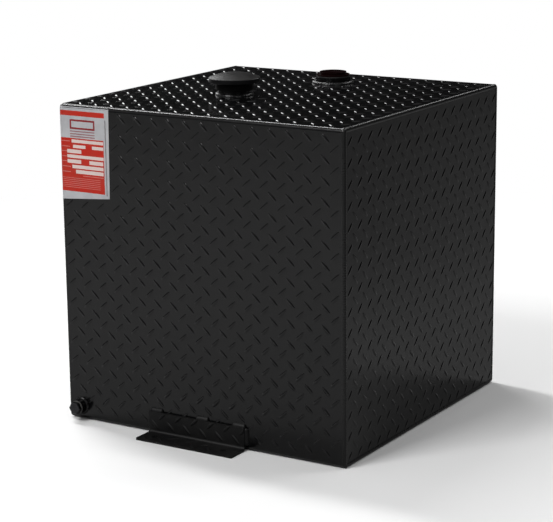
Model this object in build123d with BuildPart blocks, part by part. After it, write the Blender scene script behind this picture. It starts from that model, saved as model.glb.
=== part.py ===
from build123d import *
import math
import os

# Truck bed transfer tank: a cube of folded and welded tread plate, with a vented screw cap on a
# filler neck, a plugged pump port in the deck, a drain plug low on the front wall and a folded
# bracket along the foot of the front and rear walls.
# Millimetres. +X is to the right seen from the front, +Y to the rear, +Z up.
# The origin is on the truck bed, under the middle of the tank.

# Tank body
tank_width = 609.6
tank_depth = 609.6
tank_height = 609.6
sheet = 3.2
bend_inside = 4.8
lug_height = 1.5

# End plates and the beads round them
end_setback = 1.6
end_bead_on_wrap = 6.0
end_bead_on_plate = 7.6
end_bead_corner_cut = 0.6

# Seam where the two ends of the folded sheet meet, on the rear wall
seam_height = 90.0
seam_gap = 1.6
seam_bead_width = 9.0
seam_bead_crown = 1.2
bead_end_gap = 0.3

# Baffle across the inside
baffle_from_front = 368.0
baffle_sheet = 3.2
baffle_flange = 28.0
baffle_side_gap = 6.0
baffle_corner = 42.0
baffle_hole_diameter = 90.0
baffle_bead_leg = 3.0
baffle_bead_length = 45.0
baffle_bead_margin = 8.0
baffle_bead_count = 3

# Filler neck
cap_from_left = 228.0
cap_from_front = 249.0
neck_diameter = 64.0
neck_wall = 3.5
neck_height = 28.0
neck_reach = 8.0
neck_bead = 5.0
tube_hole_gap = 0.3

# Fill cap
cap_gasket = 2.2
gasket_side_gap = 0.4
thread_length = 18.0
thread_gap = 0.4
collar_wall = 3.6
collar_edge_cut = 1.2
insert_ceiling = 2.5
cap_diameter = 98.5
cap_rim_height = 9.0
cap_dome_rise = 9.6
cap_wall = 2.8
cap_edge_cut = 0.9
cap_rim_drop = 8.0
cover_fit = 0.1
clip_ring_wall = 2.2
cap_ribs = 12
cap_rib_width = 1.6
cap_rib_lift = 2.0
cap_rib_inner_diameter = 56.0

# Vent valve in the cap
vent_hole_diameter = 8.0
valve_diameter = 14.0
valve_thickness = 1.6
valve_pin_diameter = 3.0
pin_gap = 0.08
spring_height = 8.0
spring_coil_diameter = 8.0
spring_wire = 0.8
spring_turns = 3.5
spring_wire_sides = 6
cage_wall = 1.5
cage_side_gap = 1.5
cage_flange = 4.0
cage_windows = 4
cage_window_width = 5.0

# Pump port in the deck
port_from_left = 313.0
port_from_front = 478.0
port_diameter = 73.0
port_bore = 58.0
port_height = 13.0
port_reach = 10.0
port_bead = 5.0
port_gasket = 2.0
port_flange_diameter = 66.0
port_flange = 2.5
port_head_diameter = 53.0
port_head_height = 5.0
port_recess_depth = 4.0
port_recess_wall = 3.5
port_grip_bar = 9.0
port_thread_length = 13.0
port_plug_wall = 3.2
plug_thread_gap = 0.35

# Drain in the front wall
drain_from_left = 27.0
drain_height = 25.5
drain_diameter = 28.6
drain_bore = 21.0
drain_proud = 14.0
drain_reach = 8.0
drain_bead = 3.0
drain_washer_diameter = 26.0
drain_washer = 1.6
drain_thread_length = 12.0
drain_hex_across_flats = 22.0
drain_hex_height = 8.0
drain_hex_chamfer = 1.2

# Mounting brackets
bracket_length = 211.0
bracket_from_left = 191.6
bracket_height = 44.0
bracket_foot = 50.8
bracket_sheet = 4.8
bracket_bend_inside = 4.8
bolt_hole_diameter = 11.0
bolt_spacing = 152.4
bolt_from_foot_edge = 20.0
stitch_length = 28.0
stitch_middle_shift = 11.0
stitch_width = 7.0
stitch_crown = 2.2
end_stitch_height = 34.0

# Label on the front wall
label_width = 108.0
label_height = 170.0
label_thickness = 0.4
label_gap = 0.3

# Levels and places that follow from the sizes above
bend_outside = bend_inside + sheet
floor_z = lug_height
deck_z = floor_z + tank_height
middle_z = floor_z + tank_height / 2
end_x = tank_width / 2
wrap_end_x = end_x - sheet
front_y = -tank_depth / 2
rear_y = tank_depth / 2
wrap_bead_end_x = end_x - end_bead_on_wrap
cap_x = cap_from_left - end_x
cap_y = cap_from_front + front_y
port_x = port_from_left - end_x
port_y = port_from_front + front_y
drain_x = drain_from_left - end_x
drain_z = floor_z + drain_height
baffle_y = baffle_from_front + front_y


def write(piece, name):
    """Label a finished piece and write its file."""
    piece.part.label = name
    export_step(piece.part, f"parts/{name}.step")


def deck_plane(x, y, z=0.0):
    """Upright section plane through a fitting's axis, with its level origin z above the deck."""
    return Plane(origin=(x, y, deck_z + z), x_dir=(1, 0, 0), z_dir=(0, -1, 0))


os.makedirs("parts", exist_ok=True)

# Folded wrap: one strip of tread plate bent four times into the front wall, deck, rear wall and
# floor. Its two ends meet at the seam on the rear wall.
with BuildPart() as wrap_sheet:
    with BuildSketch(Plane.YZ.offset(-wrap_end_x)):
        with Locations((0, middle_z)):
            RectangleRounded(tank_depth, tank_height, bend_outside)
            RectangleRounded(
                tank_depth - 2 * sheet, tank_height - 2 * sheet, bend_inside, mode=Mode.SUBTRACT
            )
        with Locations((rear_y - sheet / 2, floor_z + seam_height)):
            Rectangle(2 * sheet, seam_gap, mode=Mode.SUBTRACT)
    extrude(amount=2 * wrap_end_x)
    with Locations((cap_x, cap_y, deck_z)):
        Hole(neck_diameter / 2 + tube_hole_gap, depth=2 * sheet)
    with Locations((port_x, port_y, deck_z)):
        Hole(port_diameter / 2 + tube_hole_gap, depth=2 * sheet)
    with Locations(Plane(origin=(drain_x, front_y, drain_z), z_dir=(0, -1, 0))):
        Hole(drain_diameter / 2 + tube_hole_gap, depth=2 * sheet)
write(wrap_sheet, "wrap_sheet")

# End plates lap over the ends of the wrap, set back from its outer face to leave room for a bead.
# The bead runs round the whole joint and rounds the corner.
for side, sign in (("left", -1), ("right", 1)):
    with BuildPart() as end_plate:
        with BuildSketch(Plane.YZ.offset(sign * wrap_end_x)):
            with Locations((0, middle_z)):
                RectangleRounded(
                    tank_depth - 2 * end_setback,
                    tank_height - 2 * end_setback,
                    bend_outside - end_setback,
                )
        extrude(amount=sign * sheet)
    write(end_plate, f"{side}_end_plate")

    with BuildPart() as end_weld:
        with BuildLine(Plane.YZ.offset(sign * end_x)):
            joint_path = FilletPolyline(
                (rear_y, deck_z),
                (rear_y, floor_z),
                (front_y, floor_z),
                (front_y, deck_z),
                radius=bend_outside,
                close=True,
            )
        with BuildSketch(Plane(origin=joint_path @ 0, x_dir=(sign, 0, 0), z_dir=(0, -sign, 0))):
            with BuildLine():
                Polyline(
                    (-end_bead_on_wrap, 0),
                    (-sheet, 0),
                    (-sheet, -end_setback),
                    (0, -end_setback),
                    (0, -end_bead_on_plate),
                )
                ThreePointArc(
                    (0, -end_bead_on_plate),
                    (-end_bead_corner_cut, -end_bead_corner_cut),
                    (-end_bead_on_wrap, 0),
                )
            make_face()
        sweep(path=joint_path)
    write(end_weld, f"{side}_end_weld")

# Seam bead: it fills the gap between the sheet's two ends and stands a little proud outside.
with BuildPart() as wrap_seam_weld:
    with BuildSketch(Plane.YZ.offset(-wrap_bead_end_x + bead_end_gap)):
        with Locations((rear_y - sheet / 2, floor_z + seam_height)):
            Rectangle(sheet, seam_gap)
        with BuildLine():
            Line(
                (rear_y, floor_z + seam_height - seam_bead_width / 2),
                (rear_y, floor_z + seam_height + seam_bead_width / 2),
            )
            ThreePointArc(
                (rear_y, floor_z + seam_height + seam_bead_width / 2),
                (rear_y + seam_bead_crown, floor_z + seam_height),
                (rear_y, floor_z + seam_height - seam_bead_width / 2),
            )
        make_face()
    extrude(amount=2 * (wrap_bead_end_x - bead_end_gap))
write(wrap_seam_weld, "wrap_seam_weld")

# Baffle: a folded plate from floor to deck that stops the fuel surging. It has a round passage in
# the middle and cut corners that let the last of the fuel and the air pass.
baffle_half_x = wrap_end_x - baffle_side_gap
baffle_foot_z = floor_z + sheet
baffle_head_z = deck_z - sheet
with BuildPart() as baffle_plate:
    with BuildSketch(Plane.YZ.offset(-baffle_half_x)):
        with BuildLine():
            FilletPolyline(
                (baffle_y + baffle_flange, baffle_foot_z),
                (baffle_y, baffle_foot_z),
                (baffle_y, baffle_head_z),
                (baffle_y + baffle_flange, baffle_head_z),
                radius=bend_inside + baffle_sheet,
            )
            Line(
                (baffle_y + baffle_flange, baffle_head_z),
                (baffle_y + baffle_flange, baffle_head_z - baffle_sheet),
            )
            FilletPolyline(
                (baffle_y + baffle_flange, baffle_head_z - baffle_sheet),
                (baffle_y + baffle_sheet, baffle_head_z - baffle_sheet),
                (baffle_y + baffle_sheet, baffle_foot_z + baffle_sheet),
                (baffle_y + baffle_flange, baffle_foot_z + baffle_sheet),
                radius=bend_inside,
            )
            Line(
                (baffle_y + baffle_flange, baffle_foot_z + baffle_sheet),
                (baffle_y + baffle_flange, baffle_foot_z),
            )
        make_face()
    extrude(amount=2 * baffle_half_x)
    with BuildSketch(Plane(origin=(0, baffle_y, middle_z), z_dir=(0, -1, 0))):
        Circle(baffle_hole_diameter / 2)
        for corner_x, corner_z in (
            (-baffle_half_x, baffle_foot_z),
            (baffle_half_x, baffle_foot_z),
            (-baffle_half_x, baffle_head_z),
            (baffle_half_x, baffle_head_z),
        ):
            with Locations(Location((corner_x, corner_z - middle_z), 45)):
                Rectangle(math.sqrt(2) * baffle_corner, math.sqrt(2) * baffle_corner)
    extrude(amount=-baffle_flange, mode=Mode.SUBTRACT)
write(baffle_plate, "baffle_plate")

# Stitch beads along the free edge of the baffle's flanges, the outer ones near its cut corners.
bead_row_start_x = -baffle_half_x + baffle_corner + baffle_bead_margin
baffle_bead_pitch = (-2 * bead_row_start_x - baffle_bead_length) / (baffle_bead_count - 1)
with BuildPart() as baffle_welds:
    for level, up in ((baffle_foot_z, 1), (baffle_head_z, -1)):
        for number in range(baffle_bead_count):
            with BuildSketch(Plane.YZ.offset(bead_row_start_x + number * baffle_bead_pitch)):
                with BuildLine():
                    Polyline(
                        (baffle_y + baffle_flange, level),
                        (baffle_y + baffle_flange + baffle_bead_leg, level),
                        (baffle_y + baffle_flange, level + up * baffle_bead_leg),
                        close=True,
                    )
                make_face()
            extrude(amount=baffle_bead_length)
write(baffle_welds, "baffle_welds")

# Filler neck: a plain tube through the deck. The fill cap's thread runs on its upper part.
neck_radius = neck_diameter / 2
neck_bore_radius = neck_radius - neck_wall
with BuildPart() as filler_neck:
    with BuildSketch(Plane.XY.offset(deck_z - sheet - neck_reach)):
        with Locations((cap_x, cap_y)):
            Circle(neck_radius)
            Circle(neck_bore_radius, mode=Mode.SUBTRACT)
    extrude(amount=neck_height + sheet + neck_reach)
write(filler_neck, "filler_neck")


def ring_bead(x, y, radius, leg):
    """Fillet bead on the deck round an upright tube."""
    with BuildPart() as bead:
        with BuildSketch(deck_plane(x, y)):
            with BuildLine():
                Polyline((radius, leg), (radius, 0), (radius + leg, 0), close=True)
            make_face()
        revolve(axis=Axis((x, y, 0), (0, 0, 1)))
    return bead


write(ring_bead(cap_x, cap_y, neck_radius, neck_bead), "filler_neck_weld")

# Fill cap: an inner insert with the thread collar and the ceiling, and a mushroom cover clipped
# round it. The flat gasket under the ceiling seals on the neck's rim.
cap_axis = Axis((cap_x, cap_y, 0), (0, 0, 1))
ceiling_z = neck_height + cap_gasket
insert_top_z = ceiling_z + insert_ceiling
collar_bottom_z = neck_height - thread_length
collar_bore_radius = neck_radius + thread_gap
collar_radius = collar_bore_radius + collar_wall
rim_bottom_z = insert_top_z - cap_rim_drop
rim_top_z = rim_bottom_z + cap_rim_height
dome_top_z = rim_top_z + cap_dome_rise
cap_radius = cap_diameter / 2

with BuildPart() as filler_cap_gasket:
    with BuildSketch(Plane.XY.offset(deck_z + neck_height)):
        with Locations((cap_x, cap_y)):
            Circle(collar_bore_radius - gasket_side_gap)
            Circle(neck_bore_radius, mode=Mode.SUBTRACT)
    extrude(amount=cap_gasket)
write(filler_cap_gasket, "filler_cap_gasket")

with BuildPart() as filler_cap_insert:
    with BuildSketch(deck_plane(cap_x, cap_y)):
        with BuildLine():
            Polyline(
                (vent_hole_diameter / 2, ceiling_z),
                (collar_bore_radius, ceiling_z),
                (collar_bore_radius, collar_bottom_z),
                (collar_radius - collar_edge_cut, collar_bottom_z),
                (collar_radius, collar_bottom_z + collar_edge_cut),
                (collar_radius, insert_top_z),
                (vent_hole_diameter / 2, insert_top_z),
                close=True,
            )
        make_face()
    revolve(axis=cap_axis)
write(filler_cap_insert, "filler_cap_insert")

# The hollow under the cover: a pocket over the insert and one outside the clip ring, with the ribs
# left standing in both.
clip_ring_radius = collar_radius + cover_fit
hollow_radius = cap_radius - cap_wall
hollow_fall = cap_dome_rise - cap_wall / 2
with BuildPart() as cap_hollow:
    with BuildSketch(deck_plane(cap_x, cap_y)):
        with BuildLine():
            Polyline(
                (0, rim_bottom_z),
                (0, dome_top_z - cap_wall),
                (hollow_radius / 2, dome_top_z - cap_wall - hollow_fall / 4),
                (hollow_radius, dome_top_z - cap_wall - hollow_fall),
                (hollow_radius, rim_bottom_z),
                close=True,
            )
        make_face()
        with Locations((clip_ring_radius + clip_ring_wall / 2, (rim_bottom_z + dome_top_z) / 2)):
            Rectangle(clip_ring_wall, dome_top_z - rim_bottom_z, mode=Mode.SUBTRACT)
    revolve(axis=cap_axis)
    with BuildSketch(Plane.XY.offset(deck_z + insert_top_z)):
        with Locations((cap_x, cap_y)):
            with PolarLocations((cap_rib_inner_diameter / 2 + clip_ring_radius) / 2, cap_ribs):
                Rectangle(clip_ring_radius - cap_rib_inner_diameter / 2, cap_rib_width)
    extrude(amount=dome_top_z - insert_top_z, mode=Mode.SUBTRACT)
    with BuildSketch(Plane.XY.offset(deck_z + rim_bottom_z + cap_rib_lift)):
        with Locations((cap_x, cap_y)):
            with PolarLocations((clip_ring_radius + cap_radius) / 2, cap_ribs):
                Rectangle(cap_radius - clip_ring_radius, cap_rib_width)
    extrude(amount=dome_top_z - rim_bottom_z, mode=Mode.SUBTRACT)

with BuildPart() as filler_cap_cover:
    with BuildSketch(deck_plane(cap_x, cap_y)):
        with BuildLine():
            Line((0, rim_bottom_z), (0, dome_top_z))
            TangentArc((0, dome_top_z), (cap_radius - cap_edge_cut, rim_top_z), tangent=(1, 0))
            Polyline(
                (cap_radius - cap_edge_cut, rim_top_z),
                (cap_radius, rim_top_z - cap_edge_cut),
                (cap_radius, rim_bottom_z + cap_edge_cut),
                (cap_radius - cap_edge_cut, rim_bottom_z),
                (0, rim_bottom_z),
            )
        make_face()
    revolve(axis=cap_axis)
    add(cap_hollow.part, mode=Mode.SUBTRACT)
write(filler_cap_cover, "filler_cap_cover")

# Vent valve: a rubber disc held up against the hole in the ceiling by a light spring. It opens
# downwards and lets air in as fuel is drawn. The cage under it holds the spring.
valve_radius = valve_diameter / 2
pin_radius = valve_pin_diameter / 2
cage_bore_radius = valve_radius + cage_side_gap
spring_top_z = ceiling_z - valve_thickness
cage_floor_z = spring_top_z - spring_height
cage_bottom_z = cage_floor_z - cage_wall
with BuildPart() as vent_valve:
    with BuildSketch(Plane.XY.offset(deck_z + spring_top_z)):
        with Locations((cap_x, cap_y)):
            Circle(valve_radius)
    extrude(amount=valve_thickness)
    with BuildSketch(Plane.XY.offset(deck_z + cage_bottom_z)):
        with Locations((cap_x, cap_y)):
            Circle(pin_radius)
    extrude(amount=spring_top_z - cage_bottom_z)
write(vent_valve, "vent_valve")

with BuildPart() as vent_cage:
    with BuildSketch(deck_plane(cap_x, cap_y)):
        with BuildLine():
            Polyline(
                (pin_radius + pin_gap, cage_bottom_z),
                (cage_bore_radius + cage_wall, cage_bottom_z),
                (cage_bore_radius + cage_wall, ceiling_z - cage_wall),
                (cage_bore_radius + cage_wall + cage_flange, ceiling_z - cage_wall),
                (cage_bore_radius + cage_wall + cage_flange, ceiling_z),
                (cage_bore_radius, ceiling_z),
                (cage_bore_radius, cage_floor_z),
                (pin_radius + pin_gap, cage_floor_z),
                close=True,
            )
        make_face()
    revolve(axis=cap_axis)
    with BuildSketch(Plane.XY.offset(deck_z + cage_floor_z)):
        with Locations((cap_x, cap_y)):
            with PolarLocations(cage_bore_radius + cage_wall / 2, cage_windows):
                Rectangle(2 * cage_wall, cage_window_width)
    extrude(amount=spring_height - cage_wall, mode=Mode.SUBTRACT)
write(vent_cage, "vent_cage")

spring_rise = spring_height - spring_wire
with BuildPart() as vent_spring:
    with BuildLine():
        coil = Helix(
            spring_rise / spring_turns,
            spring_rise,
            spring_coil_diameter / 2,
            center=(cap_x, cap_y, deck_z + cage_floor_z + spring_wire / 2),
        )
    with BuildSketch(Plane(origin=coil @ 0, z_dir=coil % 0)):
        RegularPolygon(spring_wire / 2, spring_wire_sides)
    sweep(path=coil, is_frenet=True)
write(vent_spring, "vent_spring")

# Pump port: a half coupling welded through the deck, closed by a moulded screw plug. The plug's
# flange seals on a flat gasket and its head has a recess with a bar across for a spanner.
port_axis = Axis((port_x, port_y, 0), (0, 0, 1))
port_radius = port_diameter / 2
port_bore_radius = port_bore / 2
port_shank_radius = port_bore_radius - plug_thread_gap
port_flange_z = port_height + port_gasket
port_head_z = port_flange_z + port_flange
port_top_z = port_head_z + port_head_height
port_shank_z = port_flange_z - port_thread_length
with BuildPart() as pump_port_coupling:
    with BuildSketch(Plane.XY.offset(deck_z - sheet - port_reach)):
        with Locations((port_x, port_y)):
            Circle(port_radius)
            Circle(port_bore_radius, mode=Mode.SUBTRACT)
    extrude(amount=port_height + sheet + port_reach)
write(pump_port_coupling, "pump_port_coupling")

write(ring_bead(port_x, port_y, port_radius, port_bead), "pump_port_weld")

with BuildPart() as pump_port_gasket:
    with BuildSketch(Plane.XY.offset(deck_z + port_height)):
        with Locations((port_x, port_y)):
            Circle(port_flange_diameter / 2)
            Circle(port_bore_radius, mode=Mode.SUBTRACT)
    extrude(amount=port_gasket)
write(pump_port_gasket, "pump_port_gasket")

port_recess_radius = port_head_diameter / 2 - port_recess_wall
with BuildPart() as pump_port_plug:
    with BuildSketch(deck_plane(port_x, port_y)):
        with BuildLine():
            Polyline(
                (0, port_flange_z),
                (port_shank_radius - port_plug_wall, port_flange_z),
                (port_shank_radius - port_plug_wall, port_shank_z),
                (port_shank_radius, port_shank_z),
                (port_shank_radius, port_flange_z),
                (port_flange_diameter / 2, port_flange_z),
                (port_flange_diameter / 2, port_head_z),
                (port_head_diameter / 2, port_head_z),
                (port_head_diameter / 2, port_top_z),
                (0, port_top_z),
                close=True,
            )
        make_face()
    revolve(axis=port_axis)
    with BuildSketch(Plane.XY.offset(deck_z + port_top_z)):
        with Locations((port_x, port_y)):
            Circle(port_recess_radius)
            Rectangle(2 * port_recess_radius + port_recess_wall, port_grip_bar, mode=Mode.SUBTRACT)
    extrude(amount=-port_recess_depth, mode=Mode.SUBTRACT)
write(pump_port_plug, "pump_port_plug")


def drain_plane(out):
    """Plane square to the drain's axis, at a distance in front of the front wall."""
    return Plane(origin=(drain_x, front_y - out, drain_z), x_dir=(1, 0, 0), z_dir=(0, -1, 0))


# Drain: a small half coupling through the front wall, a flat washer and a hexagon plug.
drain_radius = drain_diameter / 2
drain_washer_out = drain_proud + drain_washer
drain_shank_radius = drain_bore / 2 - plug_thread_gap
with BuildPart() as drain_coupling:
    with BuildSketch(drain_plane(-sheet - drain_reach)):
        Circle(drain_radius)
        Circle(drain_bore / 2, mode=Mode.SUBTRACT)
    extrude(amount=drain_proud + sheet + drain_reach)
write(drain_coupling, "drain_coupling")

with BuildPart() as drain_weld:
    with BuildSketch(Plane(origin=(drain_x, front_y, drain_z), x_dir=(1, 0, 0), z_dir=(0, 0, 1))):
        with BuildLine():
            Polyline(
                (drain_radius, -drain_bead),
                (drain_radius, 0),
                (drain_radius + drain_bead, 0),
                close=True,
            )
        make_face()
    revolve(axis=Axis((drain_x, front_y, drain_z), (0, 1, 0)))
write(drain_weld, "drain_weld")

with BuildPart() as drain_washer_ring:
    with BuildSketch(drain_plane(drain_proud)):
        Circle(drain_washer_diameter / 2)
        Circle(drain_bore / 2, mode=Mode.SUBTRACT)
    extrude(amount=drain_washer)
write(drain_washer_ring, "drain_washer")

with BuildPart() as drain_plug:
    with BuildSketch(drain_plane(drain_washer_out - drain_thread_length)):
        Circle(drain_shank_radius)
    extrude(amount=drain_thread_length)
    with BuildSketch(drain_plane(drain_washer_out)):
        RegularPolygon(drain_hex_across_flats / 2, 6, major_radius=False)
    extrude(amount=drain_hex_height)
    chamfer(drain_plug.faces().sort_by(Axis.Y)[0].edges(), drain_hex_chamfer)
write(drain_plug, "drain_plug")

# Brackets: a folded angle along the foot of the front and rear walls, held off the wall by the
# height of the lugs. Its foot lies on the truck bed and has two bolt holes.
bracket_x = bracket_from_left + bracket_length / 2 - end_x
bracket_back_y = front_y - lug_height
bracket_front_y = bracket_back_y - bracket_sheet
foot_tip_y = front_y - bracket_foot
bolt_y = foot_tip_y + bolt_from_foot_edge
with BuildPart() as front_bracket:
    with BuildSketch(Plane.YZ.offset(bracket_x - bracket_length / 2)):
        with BuildLine():
            FilletPolyline(
                (bracket_back_y, bracket_height),
                (bracket_back_y, 0),
                (foot_tip_y, 0),
                radius=bracket_bend_inside + bracket_sheet,
            )
            Line((foot_tip_y, 0), (foot_tip_y, bracket_sheet))
            FilletPolyline(
                (foot_tip_y, bracket_sheet),
                (bracket_front_y, bracket_sheet),
                (bracket_front_y, bracket_height),
                radius=bracket_bend_inside,
            )
            Line((bracket_front_y, bracket_height), (bracket_back_y, bracket_height))
        make_face()
    extrude(amount=bracket_length)
    with Locations((bracket_x, bolt_y, bracket_sheet)):
        with GridLocations(bolt_spacing, 1, 2, 1):
            Hole(bolt_hole_diameter / 2, depth=bracket_sheet)
write(front_bracket, "front_bracket")

with BuildPart() as rear_bracket:
    mirror(front_bracket.part, about=Plane.XZ)
write(rear_bracket, "rear_bracket")

# Bracket beads: three stitches along the top edge, from the bracket to the wall, and one down each
# end. They bridge the gap that the lugs leave.
stitch_reach = (bracket_length - stitch_length) / 2
stitch_bulge_y = (bracket_back_y + bracket_front_y - stitch_crown) / 2
with BuildPart() as front_bracket_welds:
    for shift in (-stitch_reach, stitch_middle_shift, stitch_reach):
        with BuildSketch(Plane.YZ.offset(bracket_x + shift - stitch_length / 2)):
            with BuildLine():
                Polyline(
                    (front_y, bracket_height + stitch_width),
                    (front_y, bracket_height),
                    (bracket_front_y, bracket_height),
                )
                ThreePointArc(
                    (bracket_front_y, bracket_height),
                    (stitch_bulge_y, bracket_height + stitch_width / 2),
                    (front_y, bracket_height + stitch_width),
                )
            make_face()
        extrude(amount=stitch_length)
    for sign in (-1, 1):
        end_face_x = bracket_x + sign * bracket_length / 2
        with BuildSketch(Plane.XY.offset(bracket_height - end_stitch_height)):
            with BuildLine():
                Polyline(
                    (end_face_x + sign * stitch_width, front_y),
                    (end_face_x, front_y),
                    (end_face_x, bracket_front_y),
                )
                ThreePointArc(
                    (end_face_x, bracket_front_y),
                    (end_face_x + sign * stitch_width / 2, stitch_bulge_y),
                    (end_face_x + sign * stitch_width, front_y),
                )
            make_face()
        extrude(amount=end_stitch_height)
write(front_bracket_welds, "front_bracket_welds")

with BuildPart() as rear_bracket_welds:
    mirror(front_bracket_welds.part, about=Plane.XZ)
write(rear_bracket_welds, "rear_bracket_welds")

# Label: a thin foil panel at the top left of the front wall, on the flat between the end bead and
# the deck's bend.
label_left = -wrap_bead_end_x + label_gap
label_top = deck_z - bend_outside - label_gap
with BuildPart() as label:
    with BuildSketch(
        Plane(
            origin=(label_left + label_width / 2, front_y, label_top - label_height / 2),
            x_dir=(1, 0, 0),
            z_dir=(0, -1, 0),
        )
    ):
        Rectangle(label_width, label_height)
    extrude(amount=label_thickness)
write(label, "label")
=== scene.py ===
# %% [markdown]
# # Truck bed transfer tank
# The tank is a cube of tread plate, folded and welded, under a black powder coat. The solids of
# every part are already there in the frame, at their real size and place. This lesson dresses them:
# it adds the rolled lugs of the tread plate, the ripples of the welding beads, the printed label and
# the finish of each surface. Everything is in metres, in the frame's own axes: X to the right of the
# front wall, Y to the rear and Z up.

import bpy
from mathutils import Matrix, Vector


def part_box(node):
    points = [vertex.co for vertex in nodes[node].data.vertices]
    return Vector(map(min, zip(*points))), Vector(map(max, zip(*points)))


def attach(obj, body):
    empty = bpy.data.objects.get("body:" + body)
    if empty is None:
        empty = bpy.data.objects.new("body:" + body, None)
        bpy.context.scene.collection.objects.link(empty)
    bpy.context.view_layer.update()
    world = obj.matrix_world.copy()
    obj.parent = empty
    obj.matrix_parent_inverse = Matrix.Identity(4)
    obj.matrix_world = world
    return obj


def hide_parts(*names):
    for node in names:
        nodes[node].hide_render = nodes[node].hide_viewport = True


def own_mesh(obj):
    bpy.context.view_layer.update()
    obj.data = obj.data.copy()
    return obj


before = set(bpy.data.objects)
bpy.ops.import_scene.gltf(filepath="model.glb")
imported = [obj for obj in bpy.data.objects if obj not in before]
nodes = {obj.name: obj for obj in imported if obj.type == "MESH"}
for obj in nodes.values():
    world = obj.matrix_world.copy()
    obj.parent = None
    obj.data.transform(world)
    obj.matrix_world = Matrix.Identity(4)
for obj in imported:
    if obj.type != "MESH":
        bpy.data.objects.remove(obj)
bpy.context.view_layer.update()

import math

import bmesh
import bpy
import numpy as np
from mathutils import Quaternion, Vector

scene = bpy.context.scene
MM = 0.001

# %% [markdown]
# ## The sizes that the frame gives
# The place of a wall or an axis could be typed in again here, but it would be wrong as soon as a
# solid changes. So each place is read from the box of the solid that has it.

# %% Read the places of the main parts
wrap_low, wrap_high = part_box("wrap_sheet")
front_y, rear_y = wrap_low.y, wrap_high.y
floor_z, deck_z = wrap_low.z, wrap_high.z
left_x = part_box("left_end_plate")[0].x
right_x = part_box("right_end_plate")[1].x


def middle_of(node):
    """The middle of a node's box."""
    low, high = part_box(node)
    return (low + high) / 2


cap_axis = middle_of("filler_neck")
port_axis = middle_of("pump_port_coupling")
drain_axis = middle_of("drain_coupling")
print("tank", round(right_x - left_x, 4), round(rear_y - front_y, 4), round(deck_z - floor_z, 4))

# %% [markdown]
# ## The camera
# The photograph was taken from above and to the right with a long lens, so the vertical edges stay
# nearly parallel. A camera could be aimed by eye, but then no later comparison could be trusted. This
# one has the place that makes the tank's corners meet those of the picture. Its lens is written as a
# focal length in pixels of the 553 by 522 picture, which a 36 mm sensor turns into millimetres.

# %% Place the camera
picture_width = 553
focal_px = 1888.3
camera_place = Vector((1.8714, -3.0613, 1.1355))
camera_azimuth = math.radians(31.727)
camera_elevation = math.radians(13.383)
camera_roll = math.radians(-0.616)

camera_data = bpy.data.cameras.new("camera")
camera_data.sensor_width = 36.0
camera_data.lens = focal_px / picture_width * camera_data.sensor_width
camera_data.clip_end = 200.0
camera = bpy.data.objects.new("camera", camera_data)
scene.collection.objects.link(camera)
forward = Vector((
    -math.sin(camera_azimuth) * math.cos(camera_elevation),
    math.cos(camera_azimuth) * math.cos(camera_elevation),
    -math.sin(camera_elevation),
))
camera.rotation_mode = "QUATERNION"
camera.rotation_quaternion = forward.to_track_quat("-Z", "Y") @ Quaternion((0, 0, 1), camera_roll)
camera.location = camera_place
scene.camera = camera
print("lens", round(camera_data.lens, 1), "mm")

# %% [markdown]
# ## Shader maths as Python
# A material is a net of nodes. It could be wired up one node at a time, but then the idea behind it
# is lost among the links. This small class wraps one output of a node, so that `1 - mask * 0.3` adds
# the Math nodes it needs. Any other node comes from one method: it takes the node's type, its
# settings and what goes into its sockets.


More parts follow.
